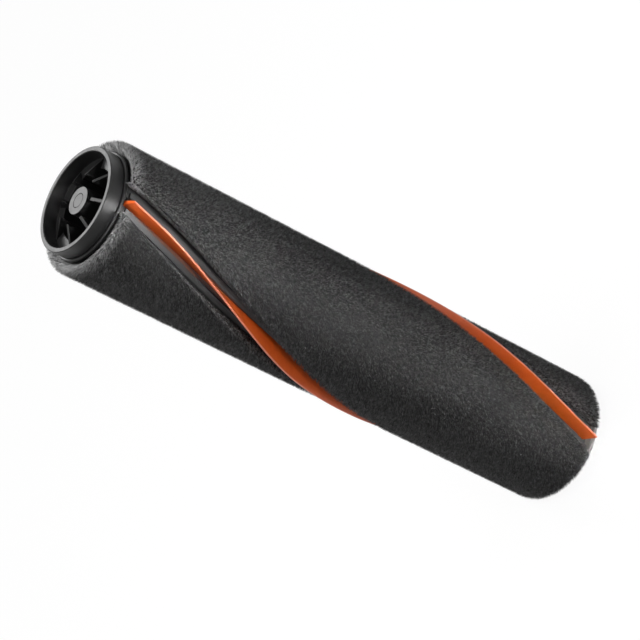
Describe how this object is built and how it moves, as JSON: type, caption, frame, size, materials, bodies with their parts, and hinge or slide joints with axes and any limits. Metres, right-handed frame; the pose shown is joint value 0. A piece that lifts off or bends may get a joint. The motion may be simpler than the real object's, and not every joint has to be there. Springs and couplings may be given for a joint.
{
  "type": "vacuum brush roller",
  "caption": "Soft brush roller for a vacuum cleaner: dark plush panels and orange helical wiper blades on a hollow core, with a finned drive socket and a bearing end.",
  "frame": {"origin": "centre of the bearing-end face, on which the roller stands", "axes": "+Z along the roller's axis, from the bearing end to the drive socket; +X midway between two of the socket's fins"},
  "size_m": [0.0448, 0.0448, 0.203],
  "materials": {
    "core_plastic": "satin dark grey moulded plastic",
    "cap_plastic": "satin black moulded plastic",
    "end_cap_plastic": "satin grey moulded plastic",
    "pile": "dense short charcoal plush",
    "blade_elastomer": "satin orange elastomer",
    "pin_steel": "blackened, turned end",
    "bearing_steel": "ground",
    "ball_steel": "polished",
    "cage_plastic": "plain nylon",
    "shield_steel": "pressed sheet"
  },
  "bodies": {
    "roller": {"core_tube": "core_plastic", "plush_panel_a": "pile", "plush_panel_b": "pile", "blade_a": "blade_elastomer", "blade_b": "blade_elastomer", "drive_cap": "cap_plastic", "hub_pin": "pin_steel", "bearing_cap": "end_cap_plastic", "bearing_outer_ring": "bearing_steel", "bearing_outer_shield": "shield_steel", "bearing_inner_shield": "shield_steel"},
    "inner_ring": {"bearing_inner_ring": "bearing_steel"},
    "ball_set": {"bearing_ball_1": "ball_steel", "bearing_ball_2": "ball_steel", "bearing_ball_3": "ball_steel", "bearing_ball_4": "ball_steel", "bearing_ball_5": "ball_steel", "bearing_ball_6": "ball_steel", "bearing_ball_7": "ball_steel", "bearing_ball_8": "ball_steel", "bearing_cage": "cage_plastic"}
  },
  "joints": [
    {"name": "bearing_spin", "type": "hinge", "parent": "roller", "child": "inner_ring", "pos_m": [0, 0, 0.0028], "axis": [0, 0, 1], "continuous": true},
    {"name": "cage_spin", "type": "hinge", "parent": "roller", "child": "ball_set", "pos_m": [0, 0, 0.0028], "axis": [0, 0, 1], "continuous": true}
  ],
  "couplings": [
    {"joint": "cage_spin", "follows": "bearing_spin", "ratio": 0.3889}
  ]
}
